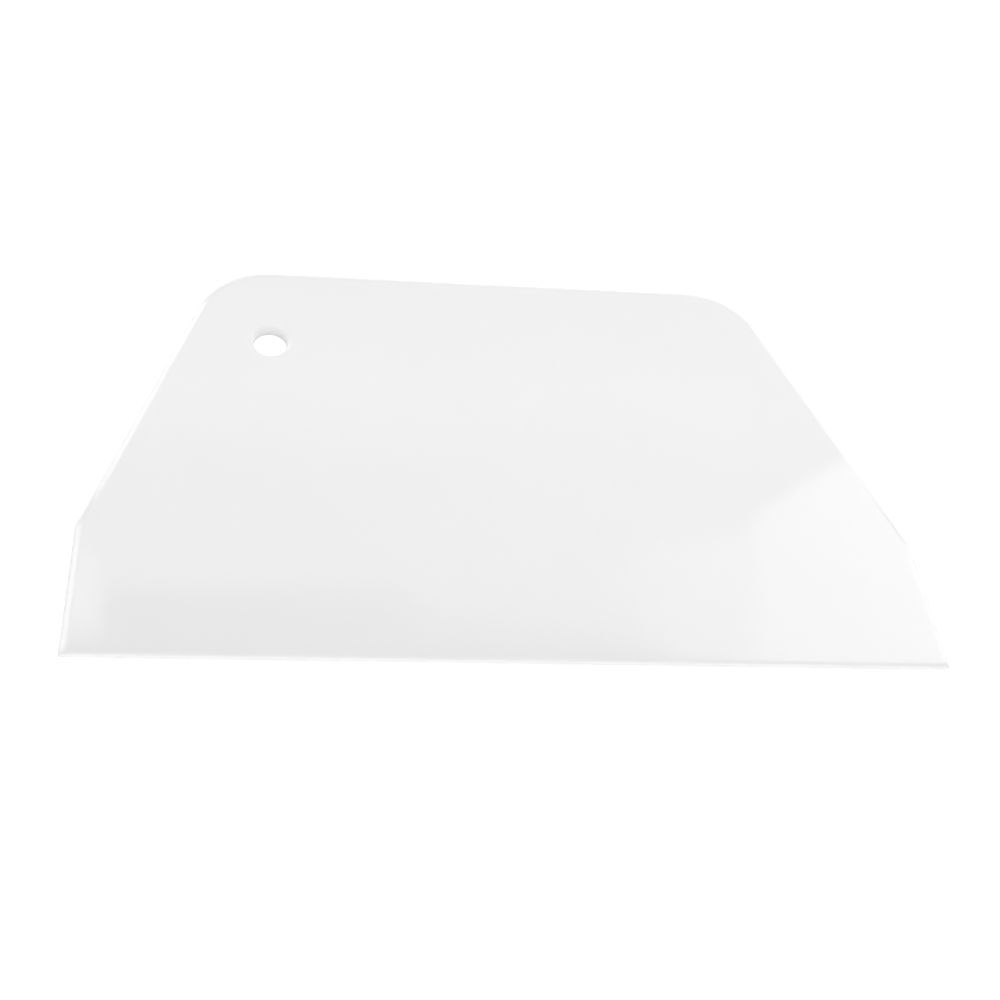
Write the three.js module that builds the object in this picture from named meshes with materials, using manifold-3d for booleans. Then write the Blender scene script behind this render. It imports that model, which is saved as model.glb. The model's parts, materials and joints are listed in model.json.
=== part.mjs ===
// Dough scraper: one flat plate of white moulded plastic, lying on a worktop.
// Millimetres, +Z up. X runs along the working edge, which faces -Y. The back edge, held in the hand,
// faces +Y. The origin is on the underside, at the middle of the plate's length and depth.
import * as THREE from "three";
import { mergeVertices } from "three/addons/utils/BufferGeometryUtils.js";
import Module from "manifold-3d";

// Outline, seen from above
const EDGE_LENGTH = 216; // working edge, from corner to corner
const DEPTH = 128; // from the working edge to the back edge
const KNEE_HEIGHT = 38.3; // from the working edge to the knees, where the sides turn inwards
const KNEE_INSET = 1.75; // along X, from the end of the working edge in to the knee
const BACK_INSET = 35.1; // along X, from that end in to the back corner before it is rounded
const BACK_CORNER_RADIUS = 21;
const KNEE_RADIUS = 4;

// Section. The upper edges are round. The lower ones are sharp, on the mould's parting line.
const THICKNESS = 2;
const RIM_WIDTH = 2.3; // of the round upper edge along the sides and the back, seen from above
const RIM_DROP = 1.8; // by which that round falls from the upper face
const TIP_ROUND = 0.7; // radius of the upper edge along the working edge
const TIP_THICKNESS = 1.5; // of the working edge
const BEVEL_WIDTH = 8; // of the strip over which the underside rises to the working edge

// Hanging hole by the left back corner
const HOLE_DIAMETER = 8.6;
const LIP_WIDTH = 1.6; // of the hole's round upper edge, seen from above
const LIP_DROP = 1.2; // by which that round falls from the upper face
const HOLE_FROM_BACK = 27.05; // from the back edge to the hole's centre
const HOLE_FROM_SIDE = 22.5; // from the slanted side to the hole's centre, square to that side

// Facets and cutting
const CHORD_ERROR = 0.02; // most that a facet cuts inside an arc
const OVERRUN = 10; // by which the blank and the cutting shapes run on past the plate

const WHITE_PLASTIC = { color: 0xf3f3f3, roughness: 0.22, metalness: 0 };

const FRONT_Y = -DEPTH / 2;
const BACK_Y = DEPTH / 2;
const BEVEL_Y = FRONT_Y + BEVEL_WIDTH;
const QUARTER_TURN = Math.PI / 2;

const wasm = await Module();
wasm.setup();

// Corners of the right half of the outline, from the working edge to the back edge
const frontCorner = new THREE.Vector2(EDGE_LENGTH / 2, FRONT_Y);
const knee = new THREE.Vector2(EDGE_LENGTH / 2 - KNEE_INSET, FRONT_Y + KNEE_HEIGHT);
const backCorner = new THREE.Vector2(EDGE_LENGTH / 2 - BACK_INSET, BACK_Y);

function mirrored(point) {
  return new THREE.Vector2(-point.x, point.y);
}

// How many facets keep an arc to the chord error
function facetCount(radius, turn) {
  const widestStep = 2 * Math.acos(1 - CHORD_ERROR / radius);
  return Math.ceil(turn / widestStep);
}

// Points of an anticlockwise arc, which may be wider than it is high
function arcPoints(centre, width, height, startAngle, turn) {
  const arc = new THREE.EllipseCurve(centre.x, centre.y, width, height, startAngle, startAngle + turn);
  return arc.getPoints(facetCount(Math.max(width, height), turn));
}

// The arc that rounds one corner, tangent to the straight sides before and after it
function roundedCorner(before, corner, after, radius) {
  const arriving = corner.clone().sub(before).normalize();
  const leaving = after.clone().sub(corner).normalize();
  const turn = Math.acos(arriving.dot(leaving));
  const tangentLength = radius * Math.tan(turn / 2);
  const outward = new THREE.Vector2(arriving.y, -arriving.x);
  const start = corner.clone().addScaledVector(arriving, -tangentLength);
  const centre = start.clone().addScaledVector(outward, -radius);
  return arcPoints(centre, radius, radius, outward.angle(), turn);
}

// The plate's outline, with the sides run on past the working edge
function blankOutline() {
  const runOn = frontCorner.clone().sub(knee).setLength(OVERRUN).add(frontCorner);
  const corners = [
    { point: runOn, radius: KNEE_RADIUS },
    { point: knee, radius: KNEE_RADIUS },
    { point: backCorner, radius: BACK_CORNER_RADIUS },
    { point: mirrored(backCorner), radius: BACK_CORNER_RADIUS },
    { point: mirrored(knee), radius: KNEE_RADIUS },
    { point: mirrored(runOn), radius: KNEE_RADIUS },
  ];
  const points = corners.flatMap(({ point, radius }, i) => {
    const before = corners.at(i - 1).point;
    const after = corners[(i + 1) % corners.length].point;
    return roundedCorner(before, point, after, radius);
  });
  return new THREE.Shape(points);
}

// Blank with a round rim, twice as thick as the plate and half of it below the underside
function plateBlank() {
  const blank = new THREE.ExtrudeGeometry(blankOutline(), {
    depth: 2 * (THICKNESS - RIM_DROP),
    bevelSize: RIM_WIDTH,
    bevelThickness: RIM_DROP,
    bevelOffset: -RIM_WIDTH,
    bevelSegments: facetCount(RIM_WIDTH, QUARTER_TURN),
  });
  return blank.translate(0, 0, RIM_DROP - THICKNESS);
}

// The plate's section from front to back, open above, run along the whole working edge. It gives the flat
// underside, the bevel and the round tip.
function sectionBlock() {
  const tipCentre = new THREE.Vector2(FRONT_Y + TIP_ROUND, THICKNESS - TIP_ROUND);
  const section = new THREE.Shape([
    new THREE.Vector2(BEVEL_Y, 0),
    new THREE.Vector2(BACK_Y + OVERRUN, 0),
    new THREE.Vector2(BACK_Y + OVERRUN, THICKNESS + OVERRUN),
    new THREE.Vector2(tipCentre.x, THICKNESS + OVERRUN),
    ...arcPoints(tipCentre, TIP_ROUND, TIP_ROUND, QUARTER_TURN, QUARTER_TURN),
    new THREE.Vector2(FRONT_Y, THICKNESS - TIP_THICKNESS),
  ]);
  const length = EDGE_LENGTH + 2 * OVERRUN;
  const block = new THREE.ExtrudeGeometry(section, { depth: length, bevelEnabled: false });
  const x = new THREE.Vector3(1, 0, 0);
  const y = new THREE.Vector3(0, 1, 0);
  const z = new THREE.Vector3(0, 0, 1);
  const alongEdge = new THREE.Matrix4().makeBasis(y, z, x);
  return block.translate(0, 0, -length / 2).applyMatrix4(alongEdge);
}

// Centre of the hanging hole, set in from the back edge and from the slanted left side
function holeCentre() {
  const sideStart = mirrored(knee);
  const side = mirrored(backCorner).sub(sideStart).normalize();
  const y = BACK_Y - HOLE_FROM_BACK;
  const sideX = sideStart.x + (side.x / side.y) * (y - sideStart.y);
  return new THREE.Vector2(sideX + HOLE_FROM_SIDE / side.y, y);
}

// Straight bore that flares at its mouth, so that it leaves the plate a round lip
function holeCutter() {
  const bore = HOLE_DIAMETER / 2;
  const mouth = bore + LIP_WIDTH;
  const lipCentre = new THREE.Vector2(mouth, THICKNESS - LIP_DROP);
  const flare = arcPoints(lipCentre, LIP_WIDTH, LIP_DROP, QUARTER_TURN, QUARTER_TURN).reverse();
  const profile = [
    [0, -OVERRUN],
    [bore, -OVERRUN],
    ...flare.map((point) => point.toArray()),
    [mouth, THICKNESS + OVERRUN],
    [0, THICKNESS + OVERRUN],
  ];
  const centre = holeCentre();
  return wasm.Manifold.revolve([profile], facetCount(mouth, 2 * Math.PI)).translate(centre.x, centre.y, 0);
}

function toSolid(geometry) {
  const bare = geometry.clone();
  bare.deleteAttribute("normal");
  bare.deleteAttribute("uv");
  const merged = mergeVertices(bare);
  const vertProperties = new Float32Array(merged.getAttribute("position").array);
  const triVerts = new Uint32Array(merged.getIndex().array);
  return new wasm.Manifold(new wasm.Mesh({ numProp: 3, vertProperties, triVerts }));
}

function toGeometry(solid) {
  const mesh = solid.getMesh();
  const geometry = new THREE.BufferGeometry();
  geometry.setAttribute("position", new THREE.BufferAttribute(mesh.vertProperties, mesh.numProp));
  geometry.setIndex(new THREE.BufferAttribute(mesh.triVerts, 1));
  return geometry;
}

function scraperPlate() {
  const solid = toSolid(plateBlank()).intersect(toSolid(sectionBlock())).subtract(holeCutter());
  const geometry = toGeometry(solid);
  geometry.computeVertexNormals();
  const plate = new THREE.Mesh(geometry, new THREE.MeshStandardMaterial(WHITE_PLASTIC));
  plate.name = "scraper_plate";
  return plate;
}

const doughScraper = new THREE.Group();
doughScraper.add(scraperPlate());

export default doughScraper;
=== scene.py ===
"""Dough scraper: one flat plate of glossy white moulded plastic, lying on a pale floor.

Metres, +Z up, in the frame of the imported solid. X runs along the working edge, which faces -Y, and the
underside lies at z = 0. The moulded plate stands for the solid, and the stage lights and shows it.
"""

import json
import math
from collections import namedtuple

import bmesh
import bpy
from bpy.props import FloatProperty, FloatVectorProperty, IntProperty, PointerProperty
from mathutils import Matrix, Vector


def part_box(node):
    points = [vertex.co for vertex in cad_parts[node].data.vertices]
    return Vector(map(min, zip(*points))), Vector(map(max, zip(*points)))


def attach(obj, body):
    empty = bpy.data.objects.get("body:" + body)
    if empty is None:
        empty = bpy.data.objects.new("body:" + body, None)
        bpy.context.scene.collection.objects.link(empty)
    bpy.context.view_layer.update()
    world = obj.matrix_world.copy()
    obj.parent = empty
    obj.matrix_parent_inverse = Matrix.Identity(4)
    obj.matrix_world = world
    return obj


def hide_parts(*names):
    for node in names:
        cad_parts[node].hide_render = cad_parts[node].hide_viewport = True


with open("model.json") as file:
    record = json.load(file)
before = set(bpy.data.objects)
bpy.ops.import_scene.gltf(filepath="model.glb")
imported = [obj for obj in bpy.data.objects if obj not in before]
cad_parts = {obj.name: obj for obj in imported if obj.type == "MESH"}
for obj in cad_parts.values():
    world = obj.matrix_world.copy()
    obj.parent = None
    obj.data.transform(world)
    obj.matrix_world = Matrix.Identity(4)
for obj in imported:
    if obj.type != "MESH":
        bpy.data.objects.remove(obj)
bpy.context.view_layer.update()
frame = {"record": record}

bl_info = {
    "name": "Dough Scraper",
    "version": (1, 0, 0),
    "blender": (4, 5, 0),
    "location": "3D View > Sidebar > Scraper",
    "description": "Moulds a white plastic dough scraper and lays it on a lit stage",
    "category": "Add Mesh",
}

SOLID = "scraper_plate"
BODY = "root"
MM = 0.001

# Places taken from the frame
PLATE_LOW, PLATE_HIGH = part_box(SOLID)
HANGING_HOLE = frame["record"]["physics"]["openings"][0]["box_m"]
HOLE_CENTRE = (Vector(HANGING_HOLE[0]) + Vector(HANGING_HOLE[1])) / 2

UP = Vector((0, 0, 1))
WHITE = (1, 1, 1, 1)
WELD = 1e-7  # points closer than this are one
PICTURE_SIDE = 1000
SENSOR_WIDTH = 36
NEAR_CLIP = 0.01
BAND_STEPS = 12  # facets along a band of light

# Where the plate is cut so that it can bend: shares of the strip that rolls down to the tip, and places
# about the start of the bevel, counted in half widths of its soft start
ROLL_CUTS = (0.4, 0.6, 0.8, 1, 1.2)
BEVEL_CUTS = (-1, -0.5, 0, 0.5, 1, 2)

# Noise seldom leaves this range
NOISE_LOW = 0.3
NOISE_HIGH = 0.7

CornerArc = namedtuple("CornerArc", "centre outward radius turn")
Card = namedtuple("Card", "name depth lines")
CardLine = namedtuple("CardLine", "start end start_glow end_glow")
Strip = namedtuple("Strip", "name foot lines")
Band = namedtuple("Band", "name start end low high glow")

# Light cards that the plate's face mirrors. Each line of a card runs between two picture points at which
# its ends are seen mirrored in the face, and has a glow at each end, where 1 is white.
CARDS = (
    Card(
        name="back_card",
        depth=1.4,
        lines=(
            CardLine(start=(-60, 200), end=(1060, 230), start_glow=1.2, end_glow=0.4),
            CardLine(start=(-60, 370), end=(1060, 420), start_glow=2.3, end_glow=1.6),
            CardLine(start=(-60, 440), end=(1060, 510), start_glow=1.9, end_glow=1.6),
            CardLine(start=(-60, 566), end=(1060, 620), start_glow=2.05, end_glow=1.8),
            CardLine(start=(-60, 592), end=(1060, 680), start_glow=0.7, end_glow=1.2),
            CardLine(start=(-60, 740), end=(1060, 760), start_glow=0.3, end_glow=0.5),
        ),
    ),
    Card(
        name="side_card",
        depth=1.1,
        lines=(
            CardLine(start=(616, 565), end=(618, 572), start_glow=2.35, end_glow=2.35),
            CardLine(start=(658, 541), end=(640, 625), start_glow=2.35, end_glow=2.3),
            CardLine(start=(800, 525), end=(715, 740), start_glow=2.45, end_glow=2.35),
            CardLine(start=(1060, 480), end=(1060, 740), start_glow=2.45, end_glow=2.45),
        ),
    ),
    Card(
        name="window_card",
        depth=1.0,
        lines=(
            CardLine(start=(752, 517), end=(762, 740), start_glow=3.1, end_glow=3.1),
            CardLine(start=(1060, 322), end=(1060, 740), start_glow=4, end_glow=4),
        ),
    ),
    Card(
        name="fringe_card",
        depth=1.0,
        lines=(
            CardLine(start=(-60, 500), end=(70, 520), start_glow=2.2, end_glow=2.1),
            CardLine(start=(-60, 570), end=(102, 570), start_glow=3.1, end_glow=2.9),
            CardLine(start=(-60, 628), end=(103, 625), start_glow=2.8, end_glow=2.7),
            CardLine(start=(-60, 655), end=(97, 650), start_glow=1, end_glow=0.9),
        ),
    ),
    Card(
        name="shade_card",
        depth=1.3,
        lines=(
            CardLine(start=(90, 580), end=(380, 572), start_glow=2.05, end_glow=2),
            CardLine(start=(90, 598), end=(410, 596), start_glow=0.9, end_glow=1.1),
            CardLine(start=(90, 630), end=(440, 628), start_glow=0.7, end_glow=1),
            CardLine(start=(90, 740), end=(500, 740), start_glow=0.4, end_glow=0.6),
        ),
    ),
)

# Strips of light that the round rim mirrors. Each is aimed from a foot on one side of the rim, through lines
# whose ends are given in degrees to the right of the back and in degrees above the floor, with
# a glow at each end.
STRIPS = (
    Strip(
        name="left_lower_strip",
        foot=(-0.107, -0.045, 0),
        lines=(
            CardLine(start=(-22, 55), end=(-18, 46), start_glow=1.8, end_glow=1.8),
            CardLine(start=(-35, 49), end=(-29, 40), start_glow=3.3, end_glow=3.3),
            CardLine(start=(-44, 40), end=(-36, 34), start_glow=4.2, end_glow=4.2),
            CardLine(start=(-50, 29), end=(-42, 25), start_glow=4.3, end_glow=4.3),
            CardLine(start=(-54, 19), end=(-45, 17), start_glow=4.1, end_glow=4.1),
            CardLine(start=(-56, 6), end=(-47, 4), start_glow=3.6, end_glow=3.6),
        ),
    ),
    Strip(
        name="left_upper_strip",
        foot=(-0.09, 0.019, 0),
        lines=(
            CardLine(start=(-14, 47), end=(-8, 39), start_glow=3.4, end_glow=3.4),
            CardLine(start=(-22, 42), end=(-13, 33), start_glow=4.1, end_glow=4.1),
            CardLine(start=(-29, 33), end=(-19, 27), start_glow=4, end_glow=4),
            CardLine(start=(-33, 22), end=(-23, 19), start_glow=3.6, end_glow=3.6),
            CardLine(start=(-35, 16), end=(-24, 14), start_glow=3.1, end_glow=3.1),
            CardLine(start=(-36, 5), end=(-26, 3), start_glow=2, end_glow=2),
        ),
    ),
    Strip(
        name="right_upper_strip",
        foot=(0.09, 0.019, 0),
        lines=(
            CardLine(start=(27, 35), end=(37, 41), start_glow=2.2, end_glow=2.2),
            CardLine(start=(30, 30), end=(40, 34), start_glow=2.4, end_glow=2.4),
            CardLine(start=(32, 24), end=(42, 26), start_glow=2.6, end_glow=2.6),
            CardLine(start=(34, 13), end=(45, 15), start_glow=2.3, end_glow=2.3),
            CardLine(start=(36, 4), end=(46, 6), start_glow=1.8, end_glow=1.8),
        ),
    ),
    Strip(
        name="right_lower_strip",
        foot=(0.107, -0.045, 0),
        lines=(
            CardLine(start=(37, 41), end=(43, 47), start_glow=2.9, end_glow=2.9),
            CardLine(start=(42, 34), end=(50, 40), start_glow=3.3, end_glow=3.3),
            CardLine(start=(45, 29), end=(53, 33), start_glow=3.9, end_glow=3.9),
            CardLine(start=(48, 22), end=(57, 24), start_glow=3.9, end_glow=3.9),
            CardLine(start=(51, 11), end=(59, 12), start_glow=3.5, end_glow=3.5),
            CardLine(start=(52, 3), end=(61, 4), start_glow=3, end_glow=3),
        ),
    ),
)

# Curved band of light behind the plate, which lights it softly. It runs from a start to an end, in degrees
# to the right of the back, and from a low to a high edge, in degrees above the floor.
BACK_BAND = Band(name="back_band", start=-60, end=62, low=8, high=44, glow=2.2)


def distance(name, description, default):
    return FloatProperty(
        name=name,
        description=description,
        default=default,
        min=0,
        precision=5,
        subtype="DISTANCE",
        unit="LENGTH",
    )


def angle(name, description, degrees):
    return FloatProperty(
        name=name, description=description, default=math.radians(degrees), subtype="ANGLE", unit="ROTATION"
    )


def amount(name, description, default):
    return FloatProperty(name=name, description=description, default=default, min=0, precision=4)


class PlateSizes(bpy.types.PropertyGroup):
    """Sizes of the moulded plate."""

    edge_length: distance("Working edge", "Length of the working edge, corner to corner", 216 * MM)
    knee_height: distance("Knee height", "From the working edge back to the knees of the sides", 38.3 * MM)
    knee_inset: distance("Knee inset", "Along X, from the end of the working edge in to the knee", 1.75 * MM)
    back_inset: distance("Back inset", "Along X, from that end in to the back corner's point", 35.1 * MM)
    back_corner_radius: distance("Back corner", "Radius of the two back corners", 21 * MM)
    knee_radius: distance("Knee", "Radius of the two knees", 4 * MM)
    rim_width: distance("Rim width", "Width of the round upper edge along the sides and the back", 2.3 * MM)
    rim_drop: distance("Rim drop", "How far that round falls from the upper face", 1.8 * MM)
    foot_round: distance("Foot round", "Radius of the lower edge", 0.15 * MM)
    face_margin: distance("Face margin", "Flat band that holds a face level beside a round", 0.2 * MM)
    tip_thickness: distance("Tip thickness", "Thickness of the working edge", 1.5 * MM)
    tip_round: distance("Tip round", "Radius of the working edge's upper edge and ends", 0.7 * MM)
    bevel_width: distance("Bevel width", "Strip over which the underside rises to the working edge", 8 * MM)
    bevel_blend: distance("Bevel blend", "Half the width over which the bevel sets in", 1 * MM)
    edge_roll: distance("Edge roll", "Strip over which the upper face rolls down to the tip", 4 * MM)
    edge_drop: distance("Edge drop", "How far the upper face rolls down at the working edge", 0.04 * MM)
    hole_diameter: distance("Hole", "Bore of the hanging hole", 8.6 * MM)
    lip_width: distance("Lip width", "Width of the round lip of the hole", 1.6 * MM)
    lip_drop: distance("Lip drop", "How far the lip falls from the upper face", 1.2 * MM)
    overrun: distance("Overrun", "How far the sides run on before the working edge is cut", 10 * MM)
    round_steps: IntProperty(name="Round steps", description="Facets of a round", default=10, min=2)
    foot_steps: IntProperty(name="Foot steps", description="Facets of the lower edge", default=3, min=1)
    facet_turn: angle("Facet turn", "Widest turn between two facets of a corner", 3)


class PlasticFinish(bpy.types.PropertyGroup):
    """Finish of the white plastic."""

    pale: FloatVectorProperty(
        name="Pale tone", description="Palest tone of the plastic", default=(0.872, 0.872, 0.872), size=3,
        min=0, max=1, subtype="COLOR",
    )
    dull: FloatVectorProperty(
        name="Dull tone", description="Dullest tone of the plastic", default=(0.864, 0.864, 0.864), size=3,
        min=0, max=1, subtype="COLOR",
    )
    flow_scale: amount("Flow scale", "Fineness of the faint tones left by the flow of the plastic", 26)
    gloss_scale: amount("Gloss scale", "Fineness of the glossier and duller patches", 70)
    gloss_roughness: amount("Gloss roughness", "Roughness where the face is glossiest", 0.045)
    dull_roughness: amount("Dull roughness", "Roughness where the face is least glossy", 0.07)
    worn_roughness: amount("Worn roughness", "Roughness added at the worn working edge", 0.1)
    wear_width: distance("Wear width", "How far the wear reaches in from the working edge", 14 * MM)
    wave_scale: amount("Wave scale", "Fineness of the long waves left in the face by cooling", 30)
    wave_height: distance("Wave height", "Height of the long waves", 0.012 * MM)
    peel_scale: amount("Peel scale", "Fineness of the orange peel of the mould", 1400)
    peel_height: distance("Peel height", "Height of the orange peel", 0.0008 * MM)
    scratch_scale: amount("Scratch scale", "Fineness of the scratches across their length", 1800)
    scratch_squeeze: amount("Scratch squeeze", "Fineness along the scratches, of that across", 0.03)
    scratch_depth: distance("Scratch depth", "Depth of the fine scratches at the working edge", 0.003 * MM)
    refraction: amount("Refraction", "Refractive index of the plastic", 1.49)
    scatter: amount("Scatter", "Share of the light that scatters inside the plastic", 0.25)
    scatter_depth: distance("Scatter depth", "How far that light spreads", 0.6 * MM)


class StageSettings(bpy.types.PropertyGroup):
    """Camera, lights and floor."""

    azimuth: angle("Azimuth", "Camera's turn about the upright axis", -14.953)
    elevation: angle("Elevation", "Camera's height above the horizon, as an angle", 49.904)
    roll: angle("Roll", "Camera's turn about its own axis", 13.202)
    range: distance("Range", "From the camera to its target", 478.11 * MM)
    target: FloatVectorProperty(
        name="Target", description="Point that the camera looks at", default=(-0.902 * MM, -13.401 * MM, 0),
        size=3, precision=5, subtype="TRANSLATION", unit="LENGTH",
    )
    lens: FloatProperty(name="Lens", description="Focal length in millimetres", default=67.435, min=1)
    floor_half: distance("Floor half size", "From the middle of the floor to its sides", 3)
    floor_drop: distance("Floor drop", "Gap under the plate that keeps the two surfaces apart", 0.02 * MM)
    floor_white: amount("Floor white", "Light added to the floor where it is seen", 0.68)
    floor_tone: amount("Floor tone", "How much light the floor gives back", 0.7)
    key_size: distance("Key size", "Side of the square key light", 0.6)
    key_power: FloatProperty(name="Key power", description="Power of the key", default=4.2, unit="POWER")
    key_place: FloatVectorProperty(
        name="Key place", description="Place of the key light", default=(-0.1, -0.95, 0.28), size=3,
        subtype="TRANSLATION", unit="LENGTH",
    )
    low_fill: amount("Low fill", "Light from all round at the height of the floor", 2)
    fill_height: amount("Fill height", "Sine of the height up to which the light from all round fades", 0.5)
    high_fill: amount("High fill", "Light from overhead", 0.285)
    band_distance: distance("Band distance", "From the plate out to the band and the strips of light", 1.5)


# Moulded plate


def corner_arcs(sizes):
    """The six rounds of the blank's outline, anticlockwise from the right, with the sides run on in front."""
    end = Vector((sizes.edge_length / 2, PLATE_LOW.y))
    knee = end + Vector((-sizes.knee_inset, sizes.knee_height))
    back = Vector((end.x - sizes.back_inset, PLATE_HIGH.y))
    run_on = end + (end - knee).normalized() * sizes.overrun
    right = [(run_on, sizes.knee_radius), (knee, sizes.knee_radius), (back, sizes.back_corner_radius)]
    left = [(Vector((-corner.x, corner.y)), radius) for corner, radius in reversed(right)]
    corners = right + left
    arcs = []
    for i, (corner, radius) in enumerate(corners):
        before = corners[i - 1][0]
        after = corners[(i + 1) % len(corners)][0]
        arriving = (corner - before).normalized()
        leaving = (after - corner).normalized()
        turn = arriving.angle(leaving)
        outward = Vector((arriving.y, -arriving.x))
        start = corner - arriving * radius * math.tan(turn / 2)
        centre = start - outward * radius
        arcs.append(CornerArc(centre.to_3d(), outward.to_3d(), radius, turn))
    return arcs


def quarter_turn(steps):
    """Angles that share out a quarter turn."""
    return [step / steps * math.pi / 2 for step in range(steps + 1)]


def edge_section(sizes, width, drop):
    """Section of an edge from the upper face to the underside, as (how far in from the edge, height)."""
    thickness = PLATE_HIGH.z
    foot = sizes.foot_round
    section = [(width + sizes.face_margin, thickness)]
    for turn in quarter_turn(sizes.round_steps):
        section.append((width * (1 - math.sin(turn)), thickness - drop * (1 - math.cos(turn))))
    for turn in quarter_turn(sizes.foot_steps):
        section.append((foot * (1 - math.cos(turn)), foot * (1 - math.sin(turn))))
    section.append((foot + sizes.face_margin, 0))
    return section


def sweep_section(bm, points, centre, turn, facet_turn):
    """Spins a section's points about an upright axis and returns its first and last edges."""
    verts = [bm.verts.new(point) for point in points]
    first = [bm.edges.new(pair) for pair in zip(verts, verts[1:])]
    full = turn > 2 * math.pi - facet_turn
    swept = bmesh.ops.spin(
        bm,
        geom=verts + first,
        cent=centre,
        axis=UP,
        angle=turn,
        steps=math.ceil(turn / facet_turn),
        use_merge=full,
    )
    last = [part for part in swept["geom_last"] if isinstance(part, bmesh.types.BMEdge)]
    return first, last


def sweep_rim(bm, sizes):
    """The rim: its section spun round each corner and bridged along the straight sides."""
    section = edge_section(sizes, sizes.rim_width, sizes.rim_drop)
    ends = []
    for arc in corner_arcs(sizes):
        points = [arc.centre + arc.outward * (arc.radius - inset) + UP * height for inset, height in section]
        ends.append(sweep_section(bm, points, arc.centre, arc.turn, sizes.facet_turn))
    for i, (first, _) in enumerate(ends):
        bmesh.ops.bridge_loops(bm, edges=ends[i - 1][1] + first)


def sweep_hole(bm, sizes):
    """The wall and lip of the hanging hole: a section spun once about the hole's centre."""
    centre = Vector((HOLE_CENTRE.x, HOLE_CENTRE.y, 0))
    bore = sizes.hole_diameter / 2
    section = edge_section(sizes, sizes.lip_width, sizes.lip_drop)
    points = [centre + Vector((bore + inset, 0, height)) for inset, height in section]
    sweep_section(bm, points, centre, 2 * math.pi, sizes.facet_turn)


def fill_faces(bm):
    """Closes the upper face and the underside between the rim and the hole."""
    middle = PLATE_HIGH.z / 2
    open_edges = [edge for edge in bm.edges if edge.is_boundary]
    upper = [edge for edge in open_edges if edge.verts[0].co.z > middle]
    lower = [edge for edge in open_edges if edge.verts[0].co.z < middle]
    for edges, normal in ((upper, UP), (lower, -UP)):
        bmesh.ops.triangle_fill(bm, use_beauty=True, edges=edges, normal=normal)


def cut_across(bm, reach, clear=False):
    """Cuts the plate along X at that distance from the working edge, and may clear what lies in front."""
    bmesh.ops.bisect_plane(
        bm,
        geom=bm.verts[:] + bm.edges[:] + bm.faces[:],
        dist=WELD,
        plane_co=(0, PLATE_LOW.y + reach, 0),
        plane_no=(0, -1, 0),
        clear_outer=clear,
    )


def cut_working_edge(bm, sizes):
    """Cuts the overrun off and closes the cut, then cuts along each line where the tip or the bevel turns."""
    cut_across(bm, 0, clear=True)
    bmesh.ops.edgeloop_fill(bm, edges=[edge for edge in bm.edges if edge.is_boundary])
    tip_lines = [sizes.tip_round * (1 - math.sin(turn)) for turn in quarter_turn(sizes.round_steps)[:-1]]
    foot_lines = [sizes.foot_round * (1 - math.sin(turn)) for turn in quarter_turn(sizes.foot_steps)[:-1]]
    roll_lines = [sizes.edge_roll * share for share in ROLL_CUTS]
    bevel_lines = [sizes.bevel_width + sizes.bevel_blend * share for share in BEVEL_CUTS]
    for reach in tip_lines + foot_lines + roll_lines + bevel_lines:
        cut_across(bm, reach)


def round_drop(radius, reach):
    """How far a round has fallen at that distance from the end where it stands upright."""
    short = max(0, radius - reach)
    return radius - math.sqrt(radius**2 - short**2)


def bevel_rise(sizes, reach):
    """How far the underside has risen at that distance from the working edge, with a soft start."""
    slope = (PLATE_HIGH.z - sizes.tip_thickness) / sizes.bevel_width
    blend = sizes.bevel_blend
    inside = sizes.bevel_width - reach
    if inside >= blend:
        return slope * inside
    return slope * max(0, inside + blend) ** 2 / (4 * blend)


def shape_working_edge(bm, sizes):
    """Bevels the underside, rounds the tip and its ends, and rolls the upper face down to it by a hair."""
    half_length = sizes.edge_length / 2
    for vert in bm.verts:
        reach = max(0, vert.co.y - PLATE_LOW.y)
        tip_drop = round_drop(sizes.tip_round, reach)
        rolled = max(0, 1 - reach / sizes.edge_roll) ** 2
        top = PLATE_HIGH.z - tip_drop - sizes.edge_drop * rolled
        bottom = bevel_rise(sizes, reach) + round_drop(sizes.foot_round, reach)
        vert.co.z = bottom + (top - bottom) * vert.co.z / PLATE_HIGH.z
        vert.co.x *= 1 - tip_drop / half_length


def plate_mesh(sizes):
    bm = bmesh.new()
    sweep_rim(bm, sizes)
    sweep_hole(bm, sizes)
    bmesh.ops.remove_doubles(bm, verts=bm.verts, dist=WELD)
    fill_faces(bm)
    cut_working_edge(bm, sizes)
    shape_working_edge(bm, sizes)
    bmesh.ops.recalc_face_normals(bm, faces=bm.faces)
    for face in bm.faces:
        face.smooth = True
    return to_mesh(bm, "moulded_plate")


def to_mesh(bm, name):
    mesh = bpy.data.meshes.new(name)
    bm.to_mesh(mesh)
    bm.free()
    return mesh


def place(mesh):
    """A new object at the origin that shows the mesh."""
    made = bpy.data.objects.new(mesh.name, mesh)
    bpy.context.scene.collection.objects.link(made)
    return made


# Finishes


def add_node(tree, kind, values=None, **settings):
    """A new node with those settings. Its sockets are given a value each, or the output that feeds them."""
    node = tree.nodes.new(kind)
    for name, setting in settings.items():
        setattr(node, name, setting)
    for name, value in (values or {}).items():
        if isinstance(value, bpy.types.NodeSocket):
            tree.links.new(value, node.inputs[name])
        else:
            node.inputs[name].default_value = value
    return node


def bare_material(name):
    material = bpy.data.materials.new(name)
    material.use_nodes = True
    material.node_tree.nodes.clear()
    return material


def opaque(colour):
    return (*colour, 1)


def noise(tree, vector, scale, detail):
    return add_node(
        tree, "ShaderNodeTexNoise", {"Vector": vector, "Scale": scale, "Detail": detail}
    ).outputs["Fac"]


def bump(tree, height, rise, normal=None):
    """A normal that stands for that height, on top of another normal where one is given."""
    values = {"Height": height, "Distance": rise}
    if normal:
        values["Normal"] = normal
    return add_node(tree, "ShaderNodeBump", values).outputs["Normal"]


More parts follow.
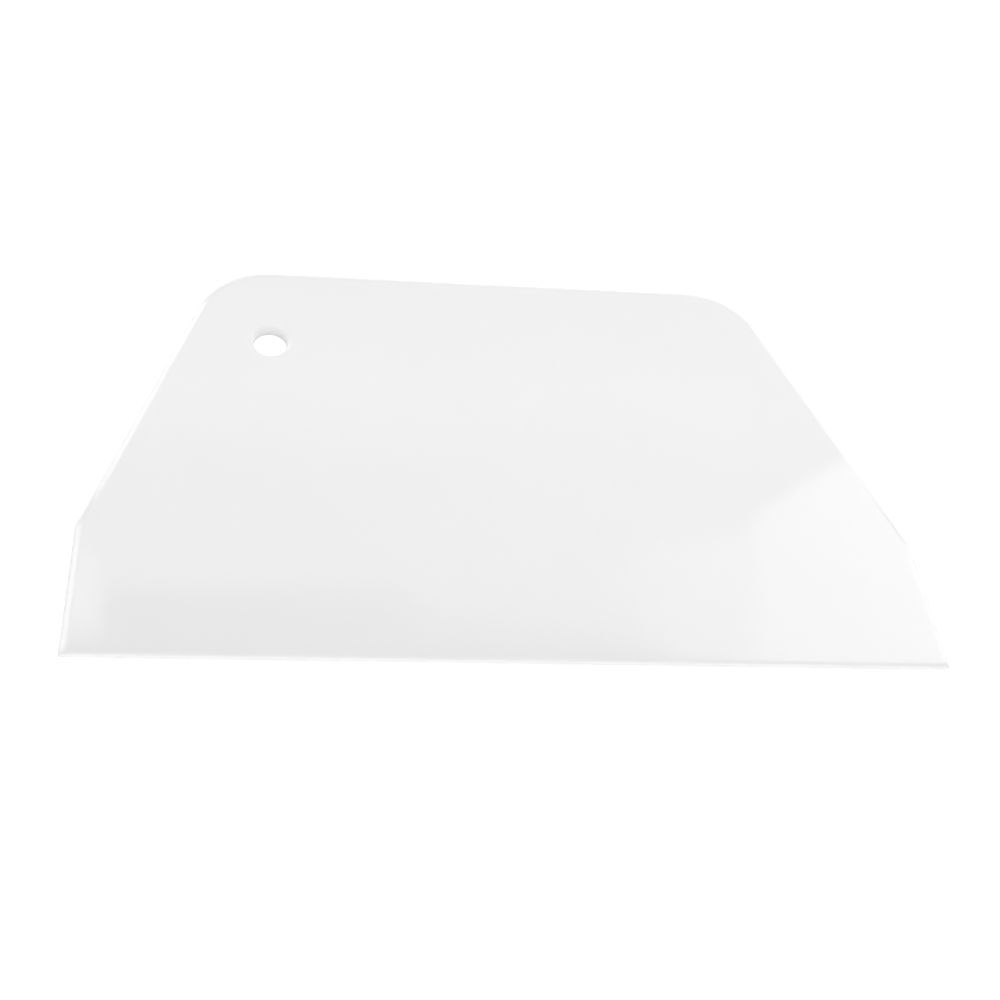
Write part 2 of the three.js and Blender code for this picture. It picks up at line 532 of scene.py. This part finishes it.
def white_plastic(finish):
    """Glossy white plastic: faint flow tones, long waves, orange peel, and fine wear by the working edge."""
    material = bare_material("white_plastic")
    tree = material.node_tree
    place_on_plate = add_node(tree, "ShaderNodeTexCoord").outputs["Object"]

    flow = noise(tree, place_on_plate, finish.flow_scale, detail=3)
    tone = add_node(tree, "ShaderNodeValToRGB", {"Fac": flow})
    dull_end, pale_end = tone.color_ramp.elements
    dull_end.position = NOISE_LOW
    dull_end.color = opaque(finish.dull)
    pale_end.position = NOISE_HIGH
    pale_end.color = opaque(finish.pale)

    y = add_node(tree, "ShaderNodeSeparateXYZ", {"Vector": place_on_plate}).outputs["Y"]
    wear = add_node(
        tree,
        "ShaderNodeMapRange",
        {"Value": y, "From Min": PLATE_LOW.y + finish.wear_width, "From Max": PLATE_LOW.y},
        interpolation_type="SMOOTHSTEP",
    ).outputs["Result"]
    along_stroke = add_node(
        tree, "ShaderNodeMapping", {"Vector": place_on_plate, "Scale": (1, finish.scratch_squeeze, 1)}
    ).outputs["Vector"]
    strokes = noise(tree, along_stroke, finish.scratch_scale, detail=2)
    scratches = add_node(tree, "ShaderNodeMath", {0: strokes, 1: wear}, operation="MULTIPLY").outputs[0]

    patches = noise(tree, place_on_plate, finish.gloss_scale, detail=4)
    face_roughness = add_node(
        tree,
        "ShaderNodeMapRange",
        {
            "Value": patches,
            "From Min": NOISE_LOW,
            "From Max": NOISE_HIGH,
            "To Min": finish.gloss_roughness,
            "To Max": finish.dull_roughness,
        },
    ).outputs["Result"]
    roughness = add_node(
        tree,
        "ShaderNodeMath",
        {0: scratches, 1: finish.worn_roughness, 2: face_roughness},
        operation="MULTIPLY_ADD",
    ).outputs[0]

    waves = noise(tree, place_on_plate, finish.wave_scale, detail=0)
    peel = noise(tree, place_on_plate, finish.peel_scale, detail=1)
    waved = bump(tree, waves, finish.wave_height)
    peeled = bump(tree, peel, finish.peel_height, waved)
    scratched = bump(tree, scratches, finish.scratch_depth, peeled)

    plastic = add_node(
        tree,
        "ShaderNodeBsdfPrincipled",
        {
            "Base Color": tone.outputs["Color"],
            "Roughness": roughness,
            "IOR": finish.refraction,
            "Subsurface Weight": finish.scatter,
            "Subsurface Radius": (1, 1, 1),
            "Subsurface Scale": finish.scatter_depth,
            "Normal": scratched,
        },
    )
    add_node(tree, "ShaderNodeOutputMaterial", {"Surface": plastic.outputs["BSDF"]})
    return material


# Stage


def seen_rays(tree):
    """1 for the rays that show a background: the camera's own, and those mirrored or let through."""
    path = add_node(tree, "ShaderNodeLightPath").outputs
    mirrored = add_node(
        tree, "ShaderNodeMath", {0: path["Is Camera Ray"], 1: path["Is Glossy Ray"]}, operation="MAXIMUM"
    ).outputs[0]
    return add_node(
        tree, "ShaderNodeMath", {0: mirrored, 1: path["Is Transmission Ray"]}, operation="MAXIMUM"
    ).outputs[0]


def pale_floor(stage):
    """Matt near-white floor, lifted to white where it is seen, under the plate's own shadow."""
    material = bare_material("pale_floor")
    tree = material.node_tree
    matt = add_node(tree, "ShaderNodeBsdfDiffuse", {"Color": opaque((stage.floor_tone,) * 3)})
    lift = add_node(
        tree, "ShaderNodeMath", {0: seen_rays(tree), 1: stage.floor_white}, operation="MULTIPLY"
    )
    lifted = add_node(tree, "ShaderNodeEmission", {"Strength": lift.outputs[0]})
    both = add_node(tree, "ShaderNodeAddShader", {0: matt.outputs[0], 1: lifted.outputs[0]})
    add_node(tree, "ShaderNodeOutputMaterial", {"Surface": both.outputs[0]})
    return material


def lay_floor(stage):
    bm = bmesh.new()
    level = Matrix.Translation((0, 0, -stage.floor_drop))
    bmesh.ops.create_grid(bm, x_segments=1, y_segments=1, size=stage.floor_half, matrix=level)
    floor = place(to_mesh(bm, "floor"))
    floor.data.materials.append(pale_floor(stage))


def light_world(stage):
    """White where it is seen, and for everything else a tent of light that is brightest low down."""
    world = bpy.data.worlds.new("studio")
    world.use_nodes = True
    tree = world.node_tree
    tree.nodes.clear()
    direction = add_node(tree, "ShaderNodeTexCoord").outputs["Generated"]
    height = add_node(tree, "ShaderNodeSeparateXYZ", {"Vector": direction}).outputs["Z"]
    strength = add_node(
        tree,
        "ShaderNodeMapRange",
        {
            "Value": height,
            "From Max": stage.fill_height,
            "To Min": stage.low_fill,
            "To Max": stage.high_fill,
        },
    ).outputs["Result"]
    tent = add_node(tree, "ShaderNodeBackground", {"Strength": strength, "Color": WHITE})
    white = add_node(tree, "ShaderNodeBackground", {"Strength": 1, "Color": WHITE})
    both = add_node(
        tree, "ShaderNodeMixShader", {0: seen_rays(tree), 1: tent.outputs[0], 2: white.outputs[0]}
    )
    add_node(tree, "ShaderNodeOutputWorld", {"Surface": both.outputs[0]})
    bpy.context.scene.world = world


def hang_key(stage):
    lamp = bpy.data.lights.new("key", "AREA")
    lamp.size = stage.key_size
    lamp.energy = stage.key_power
    key = bpy.data.objects.new("key", lamp)
    key.location = stage.key_place
    key.rotation_euler = (-Vector(stage.key_place)).to_track_quat("-Z", "Y").to_euler()
    key.visible_camera = False
    key.visible_glossy = False
    bpy.context.scene.collection.objects.link(key)


def camera_matrix(stage):
    turned = Matrix.Rotation(stage.azimuth, 4, "Z")
    raised = Matrix.Rotation(math.pi / 2 - stage.elevation, 4, "X")
    rolled = Matrix.Rotation(stage.roll, 4, "Z")
    drawn_back = Matrix.Translation((0, 0, stage.range))
    return Matrix.Translation(stage.target) @ turned @ raised @ rolled @ drawn_back


def set_camera(stage):
    lens = bpy.data.cameras.new("camera")
    lens.lens = stage.lens
    lens.sensor_width = SENSOR_WIDTH
    lens.clip_start = NEAR_CLIP
    camera = bpy.data.objects.new("camera", lens)
    camera.matrix_world = camera_matrix(stage)
    bpy.context.scene.collection.objects.link(camera)
    bpy.context.scene.camera = camera


def mirrored_point(stage, picture_point, depth):
    """The point, at that depth from the camera's mirror image, that the plate's face mirrors there."""
    u, v = picture_point
    focal = stage.lens / SENSOR_WIDTH * PICTURE_SIDE
    middle = PICTURE_SIDE / 2
    seen = Vector(((u - middle) / focal * depth, (middle - v) / focal * depth, -depth))
    face = Matrix.Translation((0, 0, PLATE_HIGH.z))
    mirror = face @ Matrix.Scale(-1, 4, UP) @ face.inverted()
    return mirror @ camera_matrix(stage) @ seen


def glowing_card():
    """Light card whose glow is painted on its points."""
    material = bare_material("glowing_card")
    tree = material.node_tree
    glow = add_node(tree, "ShaderNodeAttribute", attribute_name="glow").outputs["Fac"]
    light = add_node(tree, "ShaderNodeEmission", {"Strength": glow})
    add_node(tree, "ShaderNodeOutputMaterial", {"Surface": light.outputs[0]})
    return material


def aimed_point(stage, foot, aim):
    """The point seen from the foot at the aim, which turns right from the back and rises from the floor."""
    turn, height = (math.radians(degrees) for degrees in aim)
    level = Vector((math.sin(turn), math.cos(turn), 0)) * math.cos(height)
    return Vector(foot) + (level + UP * math.sin(height)) * stage.band_distance


def hang_mesh(bm, name):
    """A light card that is not itself seen and casts no shadow."""
    card = place(to_mesh(bm, name))
    card.data.materials.append(glowing_card())
    card.visible_camera = False
    card.visible_shadow = False
    return card


def hang_lines(name, lines, point_of):
    """A light card through its lines, each bridged to the next."""
    bm = bmesh.new()
    glow = bm.verts.layers.float.new("glow")
    edges = []
    for line in lines:
        ends = []
        for spot, level in ((line.start, line.start_glow), (line.end, line.end_glow)):
            vert = bm.verts.new(point_of(spot))
            vert[glow] = level
            ends.append(vert)
        edges.append(bm.edges.new(ends))
    for pair in zip(edges, edges[1:]):
        bmesh.ops.bridge_loops(bm, edges=list(pair))
    return hang_mesh(bm, name)


def hang_card(stage, card):
    """A light card that the plate's face mirrors."""

    def point_of(picture_point):
        return mirrored_point(stage, picture_point, card.depth)

    hang_lines(card.name, card.lines, point_of)


def hang_strip(stage, strip):
    """A strip of light that is only mirrored."""

    def point_of(aim):
        return aimed_point(stage, strip.foot, aim)

    light = hang_lines(strip.name, strip.lines, point_of)
    light.visible_diffuse = False


def hang_band(stage, band):
    """A band of light, spun about the plate's middle, that is not mirrored."""
    bm = bmesh.new()
    glow = bm.verts.layers.float.new("glow")
    reach = stage.band_distance
    start = math.radians(band.start)
    turn = math.radians(band.end - band.start)
    foot = Vector((math.sin(start), math.cos(start), 0)) * reach
    heights = (math.radians(band.low), math.radians(band.high))
    verts = [bm.verts.new(foot + UP * reach * math.tan(height)) for height in heights]
    edge = bm.edges.new(verts)
    bmesh.ops.spin(bm, geom=verts + [edge], cent=(0, 0, 0), axis=-UP, angle=turn, steps=BAND_STEPS)
    for vert in bm.verts:
        vert[glow] = band.glow
    light = hang_mesh(bm, band.name)
    light.visible_glossy = False


# Operators, panel and registration


class SCRAPER_OT_mould_plate(bpy.types.Operator):
    """Mould the plate and give it its white plastic"""

    bl_idname = "scraper.mould_plate"
    bl_label = "Mould Plate"

    def execute(self, context):
        plate = place(plate_mesh(context.scene.scraper_plate))
        plate.data.materials.append(white_plastic(context.scene.scraper_finish))
        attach(plate, BODY)
        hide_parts(SOLID)
        return {"FINISHED"}


class SCRAPER_OT_set_stage(bpy.types.Operator):
    """Lay the floor, hang the lights and set the camera"""

    bl_idname = "scraper.set_stage"
    bl_label = "Set Stage"

    def execute(self, context):
        stage = context.scene.scraper_stage
        context.scene.view_settings.view_transform = "Standard"
        set_camera(stage)
        lay_floor(stage)
        light_world(stage)
        hang_key(stage)
        hang_band(stage, BACK_BAND)
        for strip in STRIPS:
            hang_strip(stage, strip)
        for card in CARDS:
            hang_card(stage, card)
        return {"FINISHED"}


class SCRAPER_PT_sidebar(bpy.types.Panel):
    """Sizes, finish and stage of the dough scraper"""

    bl_idname = "SCRAPER_PT_sidebar"
    bl_label = "Dough Scraper"
    bl_space_type = "VIEW_3D"
    bl_region_type = "UI"
    bl_category = "Scraper"

    def draw(self, context):
        scene = context.scene
        sections = (
            (SCRAPER_OT_mould_plate, (scene.scraper_plate, scene.scraper_finish)),
            (SCRAPER_OT_set_stage, (scene.scraper_stage,)),
        )
        for operator, groups in sections:
            box = self.layout.box()
            for group in groups:
                for name in group.__annotations__:
                    box.prop(group, name)
            box.operator(operator.bl_idname)


CLASSES = (
    PlateSizes,
    PlasticFinish,
    StageSettings,
    SCRAPER_OT_mould_plate,
    SCRAPER_OT_set_stage,
    SCRAPER_PT_sidebar,
)


def register():
    for cls in CLASSES:
        bpy.utils.register_class(cls)
    bpy.types.Scene.scraper_plate = PointerProperty(type=PlateSizes)
    bpy.types.Scene.scraper_finish = PointerProperty(type=PlasticFinish)
    bpy.types.Scene.scraper_stage = PointerProperty(type=StageSettings)


def unregister():
    del bpy.types.Scene.scraper_stage
    del bpy.types.Scene.scraper_finish
    del bpy.types.Scene.scraper_plate
    for cls in reversed(CLASSES):
        bpy.utils.unregister_class(cls)


def main():
    register()
    bpy.ops.scraper.mould_plate()
    bpy.ops.scraper.set_stage()


if __name__ == "__main__":
    main()
